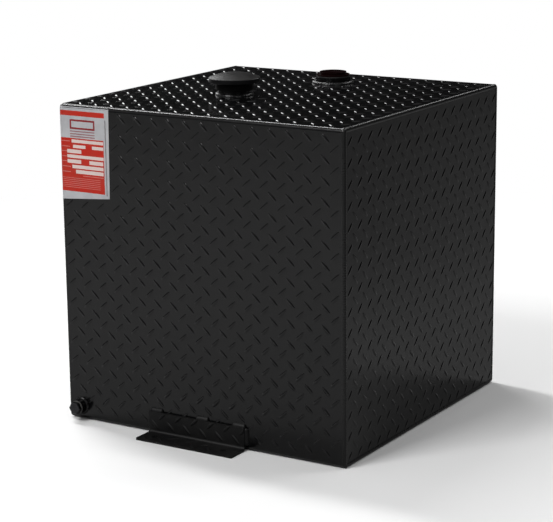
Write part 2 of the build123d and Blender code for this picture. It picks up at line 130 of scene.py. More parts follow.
# %% The class that wraps a socket
class Wire:
    """An output socket. Operators on it add Math nodes and give a new Wire.

    One without a socket stands for the whole tree, and only adds nodes.
    """

    def __init__(self, tree, socket=None):
        self.tree = tree
        self.socket = socket

    def node(self, kind, settings=None, inputs=None, output=0):
        """Add any node: its settings first, then the values or wires of its sockets."""
        made = self.tree.nodes.new(kind)
        for name, value in (settings or {}).items():
            if name == "stops":
                ramp = made.color_ramp.elements
                while len(ramp) < len(value):
                    ramp.new(0.5)
                for element, (position, tint) in zip(ramp, value):
                    element.position = position
                    element.color = tint
            else:
                setattr(made, name, value)
        for key, value in (inputs or {}).items():
            if isinstance(value, Wire):
                self.tree.links.new(value.socket, made.inputs[key])
            else:
                made.inputs[key].default_value = value
        return Wire(self.tree, made.outputs[output])

    def math(self, operation, first, second):
        return self.node("ShaderNodeMath", {"operation": operation}, {0: first, 1: second})

    def __add__(self, other):
        return self.math("ADD", self, other)

    __radd__ = __add__

    def __sub__(self, other):
        return self.math("SUBTRACT", self, other)

    def __rsub__(self, other):
        return self.math("SUBTRACT", other, self)

    def __mul__(self, other):
        return self.math("MULTIPLY", self, other)

    __rmul__ = __mul__

    def __gt__(self, other):
        return self.math("GREATER_THAN", self, other)

    def __lt__(self, other):
        return self.math("LESS_THAN", self, other)

    def largest(self, other):
        return self.math("MAXIMUM", self, other)

    def ramp(self, low, high):
        """0 below low, 1 above high, smooth between."""
        return self.node(
            "ShaderNodeMapRange",
            {"interpolation_type": "SMOOTHSTEP"},
            {"Value": self, "From Min": low, "From Max": high},
        )

    def between(self, low, high):
        """1 between low and high, and 0 elsewhere."""
        return (self > low) * (self < high)

    def mix(self, first, second):
        """A colour between two, by this value."""
        return self.node(
            "ShaderNodeMix", {"data_type": "RGBA"}, {"Factor": self, "A": first, "B": second}, "Result"
        )

    def place(self):
        """The point on the object, in metres, in the frame's axes."""
        return self.node("ShaderNodeTexCoord", None, None, "Object")

    def noise(self, scale, detail, where=None):
        """Soft noise that is 0.5 on average, with its features 1 / scale metres apart."""
        sockets = {"Vector": where or self.place(), "Scale": scale, "Detail": detail}
        return self.node("ShaderNodeTexNoise", None, sockets)

    def split(self):
        """The X, Y and Z of a vector."""
        splitter = self.node("ShaderNodeSeparateXYZ", None, {0: self}).socket.node
        return [Wire(self.tree, part) for part in splitter.outputs]

    def facing_up(self, from_slope):
        """1 where the surface looks straight up, and 0 where its normal's Z is under from_slope."""
        return self.node("ShaderNodeNewGeometry", None, None, "Normal").split()[2].ramp(from_slope, 1.0)

    def bump(self, height, distance, strength):
        """Normals for a height from 0 to 1 that stands distance metres high."""
        return self.node(
            "ShaderNodeBump", None, {"Height": height, "Distance": distance, "Strength": strength}
        )


print("a Wire can:", ", ".join(name for name in vars(Wire) if not name.startswith("_")))

# %% [markdown]
# ## A material with one shader
# Nearly every surface of the tank is one Principled shader. What is the same all over it, such as
# the index of refraction, is a number on the shader's own socket. What changes from place to place is
# a wire. Two helpers keep these apart, so that a finish reads as a short list.


# %% Make a material and drive its shader
def colour(red, green, blue):
    return (red, green, blue, 1.0)


def new_material(name, **constants):
    """A material with a Principled shader. The constants are set on the shader's own sockets."""
    material = bpy.data.materials.new(name)
    material.use_nodes = True
    shader = material.node_tree.nodes["Principled BSDF"]
    for key, value in constants.items():
        shader.inputs[key.replace("_", " ")].default_value = value
    return material, Wire(material.node_tree), shader


def drive(shader, **wires):
    """Link wires to the shader's sockets."""
    for key, wire in wires.items():
        wire.tree.links.new(wire.socket, shader.inputs[key.replace("_", " ")])


dust_tint = colour(0.30, 0.29, 0.27)
print("dust on every coat and moulding:", dust_tint[:3])

# %% [markdown]
# ## The powder coat
# The tread plate is coated with black polyester powder, baked until it flows. It is satin, a little
# uneven in gloss, and it has a fine orange peel, which shows as a soft grain where light grazes it. A
# flat black would look like a hole in the picture, and a grey would look like plastic. So the colour
# stays almost black, and what the eye reads is the reflection: most of the work is in the roughness
# and in a very low bump. A slow wave goes into the bump too, since rolled and welded sheet is never
# quite flat. Handling leaves a thin film of dust, more on what faces up.

# %% Coated metal
coat_black = colour(0.0012, 0.0012, 0.0014)
peel_height = 0.03 * MM
wave_over_peel = 30.0


def coated_metal(name, roughness, dust, shine=0.42):
    """Black powder coat on tread plate. The roughness is the mean one, and dust the most there is."""
    material, wire, shader = new_material(name, IOR=1.5, Specular_IOR_Level=shine)
    cloud = wire.noise(7.0, 4.0)
    speck = wire.noise(160.0, 3.0)
    peel = wire.noise(620.0, 2.0)
    wave = wire.noise(30.0, 3.0)
    film = cloud.ramp(0.38, 0.72) * 0.5 + speck.ramp(0.45, 0.8) * 0.5
    shade = film * (dust * 0.6) + wire.facing_up(0.3) * film * (dust * 0.4)
    drive(
        shader,
        Base_Color=shade.mix(coat_black, dust_tint),
        Roughness=cloud * 0.10 + speck * 0.06 + (roughness - 0.08),
        Normal=wire.bump(peel + wave * wave_over_peel, peel_height, 0.5),
    )
    return material


wall_coat = coated_metal("wall_coat", 0.18, 0.003)
weld_coat = coated_metal("weld_coat", 0.28, 0.008)
bracket_coat = coated_metal("bracket_coat", 0.50, 0.050, 0.28)
print("coat nodes:", len(wall_coat.node_tree.nodes))

# %% [markdown]
# ## The plastics
# The fill cap is moulded in black nylon with a fine spark texture, and the plug of the pump port is
# a dark red moulding. The cage of the vent is natural white, and the drain's washer is a grey nylon.
# All of them come from steel moulds, so one function makes them: a fine even grain, a slow cloud in
# the gloss, and dust on what faces up. Only the tint and the gloss differ.


# %% Moulded plastic
def moulded_plastic(name, tint, roughness, shine=0.5, dust=0.0):
    """Plastic from a spark textured mould, with some dust on what faces up."""
    material, wire, shader = new_material(name, IOR=1.5, Specular_IOR_Level=shine)
    texture = wire.noise(900.0, 2.0)
    cloud = wire.noise(24.0, 3.0)
    pale = colour(*(min(1.0, part * 1.6 + 0.004) for part in tint))
    plain = (cloud.ramp(0.4, 0.8) * 0.3).mix(colour(*tint), pale)
    film = wire.facing_up(0.55) * (cloud.ramp(0.3, 0.7) * 0.6 + 0.4) * dust
    drive(
        shader,
        Base_Color=film.mix(plain, dust_tint),
        Roughness=cloud * 0.12 + (roughness - 0.06),
        Normal=wire.bump(texture, 0.05 * MM, 0.5),
    )
    return material


cap_plastic = moulded_plastic("cap_plastic", (0.004, 0.004, 0.0045), 0.40, 0.22, 0.045)
insert_plastic = moulded_plastic("insert_plastic", (0.003, 0.003, 0.003), 0.55, 0.12)
plug_plastic = moulded_plastic("plug_plastic", (0.0055, 0.0008, 0.0010), 0.36, 0.06)
vent_plastic = moulded_plastic("vent_plastic", (0.72, 0.70, 0.64), 0.40)
washer_nylon = moulded_plastic("washer_nylon", (0.09, 0.09, 0.085), 0.45)
print("plastic nodes:", len(cap_plastic.node_tree.nodes))

# %% [markdown]
# ## The rubber of the seals
# The flat rings under the cap and the port's plug are black rubber, and so is the vent's valve.
# Rubber is matt, and wax that rises to its face leaves a faint grey bloom. The bloom could be painted
# by hand, but a cloud of noise that lifts both the colour and the roughness does the same.


# %% Matt rubber
def matt_rubber(name):
    """Black rubber with a faint bloom."""
    material, wire, shader = new_material(name, IOR=1.5)
    bloom = wire.noise(90.0, 4.0)
    black, bloomed = colour(0.012, 0.012, 0.012), colour(0.035, 0.034, 0.033)
    drive(
        shader,
        Base_Color=bloom.ramp(0.4, 0.75).mix(black, bloomed),
        Roughness=bloom * 0.15 + 0.62,
        Normal=wire.bump(wire.noise(1400.0, 1.0), 0.04 * MM, 0.5),
    )
    return material


seal_rubber = matt_rubber("seal_rubber")
print("rubber nodes:", len(seal_rubber.node_tree.nodes))

# %% [markdown]
# ## Bare and plated metal
# The drain plug is steel under dark zinc, the baffle inside is mill sheet, and the vent's spring is
# drawn wire. Each keeps the marks of the tool that made it, all in one direction: round the turned
# plug, along the rolled sheet. Noise that is stretched in one direction draws such marks with no
# picture, so each metal is one function with its own stretch.


# %% Metal with marks
def bare_metal(name, tint, roughness, stretch=(40.0, 40.0, 900.0)):
    """Metal with fine marks. stretch is how many of them there are in a metre of X, Y and Z."""
    material, wire, shader = new_material(name, Metallic=1.0)
    marks = wire.node(
        "ShaderNodeVectorMath", {"operation": "MULTIPLY"}, {0: wire.place(), 1: stretch}
    )
    line = wire.noise(1.0, 4.0, marks)
    cloud = wire.noise(60.0, 3.0)
    dull = colour(*(part * 0.62 for part in tint))
    drive(
        shader,
        Base_Color=cloud.ramp(0.35, 0.75).mix(colour(*tint), dull),
        Roughness=line * 0.18 + cloud * 0.08 + (roughness - 0.13),
        Normal=wire.bump(line, 0.02 * MM, 0.35),
    )
    return material


black_zinc = bare_metal("black_zinc", (0.055, 0.055, 0.058), 0.26)
mill_sheet = bare_metal("mill_sheet", (0.74, 0.74, 0.75), 0.38, (900.0, 40.0, 40.0))
spring_wire = bare_metal("spring_wire", (0.55, 0.55, 0.56), 0.28)
print("metal nodes:", len(black_zinc.node_tree.nodes))

# %% [markdown]
# ## A finish for every solid
# Most of the tank was welded first and coated afterwards, so the powder coat is the rule and
# everything else is an exception. A table of the exceptions is shorter than a list of all parts, and
# a part that is added later gets the coat by itself.

# %% Give every solid its finish
solid_finish = {name: wall_coat for name in nodes}
solid_finish.update({
    "front_bracket": bracket_coat,
    "rear_bracket": bracket_coat,
    "baffle_plate": mill_sheet,
    "baffle_welds": mill_sheet,
    "filler_cap_cover": cap_plastic,
    "filler_cap_insert": insert_plastic,
    "filler_cap_gasket": seal_rubber,
    "pump_port_gasket": seal_rubber,
    "vent_valve": seal_rubber,
    "vent_cage": vent_plastic,
    "vent_spring": spring_wire,
    "pump_port_plug": plug_plastic,
    "drain_washer": washer_nylon,
    "drain_plug": black_zinc,
})
for name, finish in solid_finish.items():
    for material_slot in nodes[name].material_slots:
        material_slot.material = finish
print("finished solids:", len(solid_finish))

# %% [markdown]
# ## The strip that becomes four walls
# The front wall, deck, rear wall and floor are one strip of sheet, bent four times. The lugs could be
# laid on each wall by itself, but then every bend would break the pattern. If a point is given as a
# place across the strip and a distance along it, one function can put it on any of the four walls or
# on a bend. The lugs, the label and the beads all use it.

# %% Measure the strip
bend_radius = 8 * MM
upright_run = deck_z - floor_z - 2 * bend_radius
level_run = rear_y - front_y - 2 * bend_radius
bend_run = bend_radius * math.pi / 2
deck_start = upright_run + bend_run
rear_start = deck_start + level_run + bend_run
floor_start = rear_start + upright_run + bend_run
strip_length = floor_start + level_run + bend_run
print("strip length", round(strip_length, 4))


# %% Put a point on the folded strip
def on_strip(across, along, lift):
    """Points on the wrap. across is X, along starts at the front wall's foot, lift is off the sheet."""
    across, along, lift = np.broadcast_arrays(across, np.mod(along, strip_length), lift)
    points = np.zeros(along.shape + (3,))
    points[..., 0] = across
    corner = np.array([front_y, floor_z + bend_radius])
    heading = np.array([0.0, 1.0])
    outward = np.array([-1.0, 0.0])
    rounding = 1e-12
    start = 0.0
    for run in (upright_run, level_run, upright_run, level_run):
        middle = corner + heading * run - outward * bend_radius
        travel = (along - start)[..., None]
        turn = np.clip((travel - run) / bend_radius, 0.0, math.pi / 2)
        radial = outward * np.cos(turn) + heading * np.sin(turn)
        flat = corner + heading * np.minimum(travel, run) + outward * lift[..., None]
        bent = middle + radial * (bend_radius + lift[..., None])
        here = (travel >= 0) & (travel <= run + bend_run + rounding)
        points[..., 1:] = np.where(here, np.where(travel <= run, flat, bent), points[..., 1:])
        start += run + bend_run
        corner = middle + heading * bend_radius
        outward, heading = heading, -outward
    return points


print("middle of the deck", on_strip(0.0, deck_start + level_run / 2, 0.0).round(4))

# %% [markdown]
# ## Making a mesh piece
# Every added piece is a closed mesh of its own, so that it can be cut, printed or counted. Blender's
# ready-made cylinders and curves would not follow a bend or ripple like a bead. So each piece is made
# from points and faces, and three helpers do what they all need: the faces of a tube, the turning of
# all faces outwards, and the object itself, which rides on the body that carries it.


# %% Points and faces to an object
def tube_faces(rings, sides, closed=False):
    """Faces of a tube of rings, with a cap on each end unless it closes on itself."""
    faces = []
    for i in range(rings if closed else rings - 1):
        near, ahead = i * sides, (i + 1) % rings * sides
        for j in range(sides):
            k = (j + 1) % sides
            faces.append((near + j, near + k, ahead + k, ahead + j))
    if not closed:
        faces.append(tuple(range(sides))[::-1])
        faces.append(tuple((rings - 1) * sides + j for j in range(sides)))
    return faces


def turn_outwards(piece):
    """Make every face look out of its closed shell."""
    shell = bmesh.new()
    shell.from_mesh(piece.data)
    bmesh.ops.recalc_face_normals(shell, faces=shell.faces)
    shell.to_mesh(piece.data)
    shell.free()


def add_piece(name, points, faces, material, body="tank", sharp_from=35.0):
    """Make an object from points and faces, and let it ride on a body."""
    mesh = bpy.data.meshes.new(name)
    mesh.from_pydata([tuple(point) for point in points], [], [tuple(face) for face in faces])
    mesh.validate()
    mesh.materials.append(material)
    mesh.polygons.foreach_set("use_smooth", [True] * len(mesh.polygons))
    mesh.set_sharp_from_angle(angle=math.radians(sharp_from))
    piece = bpy.data.objects.new(name, mesh)
    scene.collection.objects.link(piece)
    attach(piece, body)
    print(name, len(mesh.polygons), "faces")
    return piece


print("faces of a short square tube:", len(tube_faces(2, 4)))

# %% [markdown]
# ## The lugs of the tread plate
# Tread plate is rolled with raised lugs, in rows that lean left and right in turn. A bump map would
# give their shading, but not their outline on the edges of the tank, and under a low light the real
# ones throw a highlight from each slope. So each lug is a small closed mesh: a few rings, each a
# smaller copy of a pointed outline, on a rounded height. One table of rings makes them all.

# %% The plan and the height of one lug
lug_length = 26 * MM
lug_width = 6.6 * MM
lug_height = 1.4 * MM
lug_foot = 0.03 * MM
lug_sink = 0.25 * MM
lug_sides = 14
lug_rings = (1.0, 0.86, 0.68, 0.45, 0.2)
# These powers shape the outline's tips and sides, and the dome's top and slope.
tip_power, side_power = 2.5, 0.55
top_power, slope_power = 2.6, 1.2

lug_turn = np.arange(lug_sides) * 2 * math.pi / lug_sides
lug_bulge = (1 - np.abs(np.cos(lug_turn)) ** tip_power).clip(0) ** side_power
lug_outline = np.stack([
    np.cos(lug_turn) * lug_length / 2,
    np.sign(np.sin(lug_turn)) * lug_bulge * lug_width / 2,
], axis=1)
ring_rise = [
    lug_height * (1 - share ** top_power) ** slope_power - lug_foot for share in lug_rings
]
lug_plan = np.concatenate([lug_outline * share for share in lug_rings] + [np.zeros((2, 2))])
lug_lift = np.concatenate([np.repeat(ring_rise, lug_sides), [lug_height, -lug_sink]])
print("points in one lug:", len(lug_plan), "height", lug_height)


# %% The faces of one lug
def lug_faces():
    """Bands between the rings, a fan on top and one below."""
    top_ring = (len(lug_rings) - 1) * lug_sides
    top = top_ring + lug_sides
    bottom = top + 1
    faces = []
    for i in range(lug_sides):
        j = (i + 1) % lug_sides
        for outer in range(0, top_ring, lug_sides):
            inner = outer + lug_sides
            faces.append((outer + i, outer + j, inner + j, inner + i))
        faces.append((top_ring + i, top_ring + j, top))
        faces.append((j, i, bottom))
    return faces


one_lug = lug_faces()
print("faces in one lug:", len(one_lug))

# %% [markdown]
# ## The rows of lugs
# The rows are the same on every sheet, since they come from one roll. The pitch is 35.9 mm across and
# 37.8 mm up, with the second lean half a pitch further both ways. Where a lug reaches a cut edge it
# was sheared with the sheet. The rolled pattern could be cut with a boolean, but it is quicker and
# cleaner to hold each lug's points at that edge.

# %% Where the lugs go
pitch_across = 35.9 * MM
pitch_along = 37.8 * MM


def lug_centres(field, first, clear=lambda x, y: True):
    """Centres and leans of the lugs in a field. first is the place of one that leans to the left."""
    low, high = field
    centres = []
    for lean, shift in ((-1, 0.0), (1, 0.5)):
        rows = []
        for axis, pitch in enumerate((pitch_across, pitch_along)):
            start = first[axis] + shift * pitch
            start += math.ceil((low[axis] - start) / pitch) * pitch
            rows.append(np.arange(start, high[axis], pitch))
        centres += [(x, y, lean) for x in rows[0] for y in rows[1] if clear(x, y)]
    return centres


def lug_piece(name, centres, cuts, put, flip=False, coat=wall_coat):
    """One mesh of many lugs. cuts are the sheet's edges, and put places (across, along, lift)."""
    low, high = cuts
    slant = math.sqrt(0.5)
    order = -1 if flip else 1
    size = len(lug_plan)
    points = []
    faces = []
    for number, (x, y, lean) in enumerate(centres):
        across = np.clip(x + (lug_plan[:, 0] - lug_plan[:, 1] * lean) * slant, low[0], high[0])
        along = np.clip(y + (lug_plan[:, 0] * lean + lug_plan[:, 1]) * slant, low[1], high[1])
        points.append(put(across, along, lug_lift))
        faces += [tuple(number * size + i for i in face[::order]) for face in one_lug]
    return add_piece(name, np.concatenate(points), faces, coat, sharp_from=70.0)


print("lugs in a square metre:", round(2 / (pitch_across * pitch_along)))

# %% [markdown]
# ## Lugs on the folded strip
# On the real strip the lugs are ground off where something is welded on or stuck down, and the press
# brake flattens those on a bend. Each wall's lugs are one mesh, so that none of them grows too large.
# A test asks of each place whether it is clear of the bends, the label, the fittings and the seam.

# %% Keep clear of bends and fittings
bead_on_wrap = 6 * MM
strip_edge = right_x - bead_on_wrap
front_top = upright_run + bend_radius
seam_z = middle_of("wrap_seam_weld").z
seam_along = rear_start + deck_z - bend_radius - seam_z
bare_beside_label = left_x + 120 * MM
bare_under_label = front_top - 187 * MM
bare_at_bend = 8 * MM
bare_at_drain = 26 * MM
bare_at_cap = 47 * MM
bare_at_port = 50 * MM
bare_at_seam = 12 * MM
bend_starts = [start - bend_run for start in (0.0, deck_start, rear_start, floor_start, strip_length)]


def clear_of_fittings(x, along):
    """True where no bend, label, fitting or seam is in the way of a lug."""
    if any(start - bare_at_bend < along < start + bend_run + bare_at_bend for start in bend_starts):
        return False
    if along < front_top:
        in_label = x < bare_beside_label and along > bare_under_label
        drain_far = math.hypot(x - drain_axis.x, along + floor_z + bend_radius - drain_axis.z)
        return not in_label and drain_far > bare_at_drain
    if deck_start <= along <= deck_start + level_run:
        y = front_y + bend_radius + along - deck_start
        fittings = ((cap_axis, bare_at_cap), (port_axis, bare_at_port))
        return all(math.hypot(x - axis.x, y - axis.y) > bare for axis, bare in fittings)
    return abs(along - seam_along) > bare_at_seam


print("clear at the middle of the front wall:", clear_of_fittings(0.0, upright_run / 2))

# %% Lay the lugs on the strip
first_lug = (left_x + 33.8 * MM, front_top - 19.6 * MM)
edge_margin = 2 * MM
strip_cuts = ((-strip_edge, -math.inf), (strip_edge, math.inf))
section_names = ("front_lugs", "deck_lugs", "rear_lugs", "floor_lugs")
mid_bends = [start - bend_run / 2 for start in (deck_start, rear_start, floor_start)]
for name, start, end in zip(section_names, [0.0] + mid_bends, mid_bends + [strip_length]):
    field = ((edge_margin - strip_edge, start), (strip_edge - edge_margin, end))
    lug_piece(name, lug_centres(field, first_lug, clear_of_fittings), strip_cuts, on_strip)

# %% [markdown]
# ## Lugs on the end walls
# The end walls are flat plates from the same roll, so the same rows go on them, up to the bead that
# runs round each plate. On a flat wall the place of a point is simple: one coordinate is fixed. These
# lugs are a little lower than the others, since nothing of the tank may stand out past the crown of
# that bead, which is the widest place of the solids.

# %% Lay the lugs on the end walls
bead_on_plate = 7.6 * MM
bead_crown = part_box("right_end_weld")[1].x - right_x
share_of_crown = 0.95
plate_lug_share = share_of_crown * bead_crown / lug_height
plate_cuts = (
    (front_y + bead_on_plate, floor_z + bead_on_plate),
    (rear_y - bead_on_plate, deck_z - bead_on_plate),
)
plate_field = [
    tuple(edge + way * edge_margin for edge in cut) for cut, way in zip(plate_cuts, (1, -1))
]
first_plate_lug = (front_y + 2 * MM, deck_z - 45 * MM)


def on_plate(x, sign):
    """A function that puts points on an end wall, at x, lifted outwards."""
    def put(across, along, lift):
        return np.stack([x + sign * plate_lug_share * lift, across, along], axis=-1)
    return put


for side, x, sign in (("left", left_x, -1), ("right", right_x, 1)):
    found = lug_centres(plate_field, first_plate_lug)
    lug_piece(f"{side}_wall_lugs", found, plate_cuts, on_plate(x, sign), flip=sign < 0)

# %% [markdown]
# ## Lugs on the brackets
# The brackets are cut from the same plate, so their rows go on over the foot and up the leg. The
# fold itself is pressed flat, and the lugs are ground off round the bolt holes. Again a place along
# the unfolded plate says where a lug goes, and one function folds it, for the front bracket and the
# rear one alike.

# %% Unfold a bracket
bracket_low, bracket_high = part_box("front_bracket")
bracket_middle = (bracket_low.x + bracket_high.x) / 2
bracket_sheet = 4.8 * MM
bracket_fold = 2 * bracket_sheet
foot_run = bracket_high.y - bracket_low.y - bracket_sheet
foot_flat = foot_run - bracket_sheet
leg_start = foot_flat + bracket_fold
leg_flat = bracket_high.z - bracket_fold
bolt_spacing = 152.4 * MM
bolt_row = bracket_low.y + 20 * MM
bolt_places = [bracket_middle + way * bolt_spacing / 2 for way in (-1, 1)]


def on_bracket(sign):
    """Points on a bracket: along starts at the foot's tip, and goes up the leg past the fold."""
    def put(across, along, lift):
        on_foot = along < foot_run
        y = np.where(on_foot, bracket_low.y + along, bracket_high.y - bracket_sheet - lift)
        z = np.where(on_foot, bracket_sheet + lift, along - foot_run + bracket_sheet)
        return np.stack([across, -sign * y, z], axis=-1)
    return put


print("unfolded bracket", round(leg_start + leg_flat, 4))

# %% Lay the lugs on the brackets
bare_at_bolt = 17 * MM
bare_edge = 1 * MM
foot_field = (2 * MM, foot_flat - bare_edge)
leg_field = (leg_start + bare_edge, leg_start + leg_flat - bare_edge)
first_bracket_lug = (12 * MM, 9 * MM)


def clear_of_bolts(x, along):
    """True where a lug is clear of both bolt holes."""
    y = bracket_low.y + along
    return all(math.hypot(x - bolt, y - bolt_row) > bare_at_bolt for bolt in bolt_places)


for side, sign in (("front", -1), ("rear", 1)):
    for part, (start, end) in (("foot", foot_field), ("leg", leg_field)):
        cuts = ((bracket_low.x + bare_edge, start), (bracket_high.x - bare_edge, end))
        first = (bracket_low.x + first_bracket_lug[0], start + first_bracket_lug[1])
        lug_piece(
            f"{side}_bracket_{part}_lugs", lug_centres(cuts, first, clear_of_bolts), cuts,
            on_bracket(sign), flip=sign > 0, coat=bracket_coat,
        )

# %% [markdown]
# ## Welding beads
# A bead laid by hand is a row of overlapping puddles, like coins pushed over. It could be a tube with
# a bump map, but its ripples show on the outline of every corner. One builder makes every bead here.
# It takes the bead's section, repeats it along the joint and pulls the crown in between two puddles.
# Each section starts and ends on the sheet, where the pull is nil, so the bead stays tight on the
# metal.

# %% The arc of a bead's crown
def arc_through(first, middle, last, count=9):
    """Points of the circular arc through three points in a plane."""
    (ax, ay), (bx, by), (cx, cy) = first, middle, last
    spread = 2 * (ax * (by - cy) + bx * (cy - ay) + cx * (ay - by))
    a2, b2, c2 = ax * ax + ay * ay, bx * bx + by * by, cx * cx + cy * cy
    centre = np.array([
        (a2 * (by - cy) + b2 * (cy - ay) + c2 * (ay - by)) / spread,
        (a2 * (cx - bx) + b2 * (ax - cx) + c2 * (bx - ax)) / spread,
    ])
    angles = np.unwrap([math.atan2(y - centre[1], x - centre[0]) for x, y in (first, middle, last)])
    radius = math.dist(first, centre)
    sweep = np.linspace(angles[0], angles[2], count)
    return centre + radius * np.stack([np.cos(sweep), np.sin(sweep)], axis=1)


print("top of a half circle:", arc_through((-1, 0), (0, 1), (1, 0), 3)[1].round(3))

# %% Sweep a rippled bead
puddle = 4.6 * MM
samples_in_puddle = 5
ripple_depth = 0.28 * MM
coin_bow = 0.35
thinnest_end = 0.02


def bead(name, length, arc, back, root, place, replaced=(), closed=False, taper=0.0, coat=weld_coat):
    """A rippled bead. arc is its crown, back closes its section, and root is what it shrinks to."""
    puddles = max(3, round(length / puddle))
    count = puddles * samples_in_puddle
    travel = np.linspace(0.0, length, count, endpoint=not closed)
    section = np.concatenate([arc, np.array(back).reshape(-1, 2)])
    across = np.concatenate([np.linspace(-1, 1, len(arc)), np.ones(len(section) - len(arc))])
    phase = travel[:, None] / length * puddles + coin_bow * across ** 2
    drop = ripple_depth * np.cos(across * math.pi / 2) ** 0.5 * (1 - np.abs(np.sin(math.pi * phase)))
    towards = np.array(root) - section
    reach = np.linalg.norm(towards, axis=1).clip(1e-9)
    shapes = section + towards * (drop / reach)[..., None]
    if taper:
        ends = np.minimum(travel, length - travel) / taper
        scale = np.sqrt(1 - (1 - np.clip(ends, thinnest_end, 1.0)) ** 2)
        shapes = np.array(root) + (shapes - np.array(root)) * scale[:, None, None]
    along = np.broadcast_to(travel[:, None], shapes.shape[:2])
    rings = place(along, shapes[..., 0], shapes[..., 1])
    faces = tube_faces(count, len(section), closed)
    piece = add_piece(name, rings.reshape(-1, 3), faces, coat, sharp_from=50.0)
    turn_outwards(piece)
    for node in replaced:
        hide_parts(node)


print("puddles round an end wall:", round(strip_length / puddle))

# %% [markdown]
# ## Beads round the end walls
# Each end wall sits between the edges of the folded strip, and one bead runs all round it. It fills
# the corner and rounds it, and that is the light line that the tank shows on its edges. The strip's
# own function places it, so the bead turns each corner with the bend.

# %% Lay the beads round the end walls
corner_cut = 0.6 * MM
bead_root = (-3.2 * MM, -1.6 * MM)


def end_bead_arc(count):
    """The crown from the wrap to the end wall, out from the wall's face and up from the wrap."""
    return arc_through((-bead_on_wrap, 0.0), (-corner_cut, -corner_cut), (0.0, -bead_on_plate), count)


end_back = [(0.0, bead_root[1]), bead_root, (bead_root[0], 0.0)]
for side, sign in (("left", -1), ("right", 1)):
    bead(
        f"{side}_end_bead", strip_length, end_bead_arc(9), end_back, bead_root,
        lambda along, out, lift, sign=sign: on_strip(sign * (right_x + out), along, lift),
        [f"{side}_end_weld"], closed=True,
    )

# %% [markdown]
# ## Beads round the fittings
# The neck, the port and the drain are tubes through the sheet, each with a bead in the corner between
# tube and sheet. The same builder makes them, bent into a ring. What changes is the axis: two of them
# stand up from the deck, and the drain looks out of the front wall.

# %% Lay the beads round the fittings
crown_shares = (0.75, 0.72)  # of the leg, outwards and up


def round_axis(middle, axis, radius, turn, rise):
    """Points round an axis that runs along Z or along Y, at rise on that axis."""
    side = radius * np.sin(turn)
    if axis == "z":
        parts = (middle.x + radius * np.cos(turn), middle.y + side, rise)
    else:
        parts = (middle.x + radius * np.cos(turn), rise, middle.z + side)
    return np.stack(np.broadcast_arrays(*parts), axis=-1)


def ring_bead(name, node, leg, axis):
    """A bead round a fitting, on the sheet that is its base. leg is how far it reaches up and out."""
    low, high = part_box(node)
    outer = (high.x - low.x) / 2
    inner = outer - leg
    crown = (inner + crown_shares[0] * leg, crown_shares[1] * leg)
    arc = arc_through((outer, 0.0), crown, (inner, leg), 7)

    def place(along, radius, height):
        rise = low.z + height if axis == "z" else high.y - height
        return round_axis((low + high) / 2, axis, radius, along / inner, rise)

    bead(name, 2 * math.pi * inner, arc, [(inner, 0.0)], (inner, 0.0), place, [node], closed=True)


ring_bead("neck_bead", "filler_neck_weld", 5 * MM, "z")
ring_bead("port_bead", "pump_port_weld", 5 * MM, "z")
ring_bead("drain_bead", "drain_weld", 3 * MM, "y")

# %% [markdown]
# ## The seam of the strip
# The two ends of the folded strip meet low on the rear wall, in a butt joint. Its bead is low and
# wide, and a plug of weld goes down into the gap. The section is an arc with that plug below it.

# %% Lay the seam bead
seam_low, seam_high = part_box("wrap_seam_weld")
seam_half = (seam_high.z - seam_low.z) / 2
plug_half = 0.8 * MM
plug_deep = 3.2 * MM
seam_arc = arc_through((0.0, -seam_half), (seam_high.y - rear_y, 0.0), (0.0, seam_half))
seam_back = [(0.0, plug_half), (-plug_deep, plug_half), (-plug_deep, -plug_half), (0.0, -plug_half)]
bead(
    "seam_bead", seam_high.x - seam_low.x, seam_arc, seam_back, (0.0, 0.0),
    lambda along, out, up: np.stack([seam_low.x + along, rear_y + out, seam_z + up], axis=-1),
    ["wrap_seam_weld"],
)

# %% [markdown]
# ## Stitches on the brackets
# A bracket needs no full seam: three short stitches along the top of its leg and one down each end
# hold it. A stitch starts and stops in a rounded end, so these beads shrink to their root over the
# last 4 mm. The first one of a bracket stands for the whole node of its welds.

# %% Stitch the brackets
stitch_low, stitch_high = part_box("front_bracket_welds")
stitch_run = 28 * MM
end_stitch_run = 33 * MM
end_stitch_drop = 0.5 * MM
stitch_taper = 4 * MM
bracket_top = bracket_high.z
stitch_out = stitch_low.y - front_y
stitch_toe = 1.1 * MM
stitch_crown = (2.3 * MM, 4.2 * MM)
stitch_root = (bracket_high.y - front_y, 0.5 * MM)
middle_stitch_shift = 11 * MM
stitch_arc = arc_through(
    (stitch_out + stitch_toe, 0.0),
    (stitch_out + stitch_crown[0], stitch_crown[1]),
    (0.0, stitch_high.z - bracket_top),
)
middle_start = bracket_middle + middle_stitch_shift - stitch_run / 2
stitch_starts = (bracket_low.x, middle_start, bracket_high.x - stitch_run)


def stitch(name, length, place, replaced=()):
    """One short bead on a bracket."""
    bead(
        name, length, stitch_arc, [(0.0, 0.0)], stitch_root, place, replaced,
        taper=stitch_taper, coat=bracket_coat,
    )


def on_top(start, sign):
    """Places of a stitch that runs along the top of the leg, from start."""
    return lambda along, out, up: np.stack(
        [start + along, sign * (front_y + out), bracket_top + up], axis=-1
    )


def down_end(edge, way, sign):
    """Places of a stitch that runs down one end of the leg."""
    return lambda along, out, away: np.stack(
        [edge + way * away, sign * (front_y + out), bracket_top - end_stitch_drop - along], axis=-1
    )


for side, sign in (("front", 1), ("rear", -1)):
    for number, start in enumerate(stitch_starts):
        replaced = [f"{side}_bracket_welds"] if number == 0 else []
        stitch(f"{side}_stitch_{number + 1}", stitch_run, on_top(start, sign), replaced)
    for end, edge, way in (("left", bracket_low.x, -1), ("right", bracket_high.x, 1)):
        stitch(f"{side}_{end}_bracket_bead", end_stitch_run, down_end(edge, way, sign))

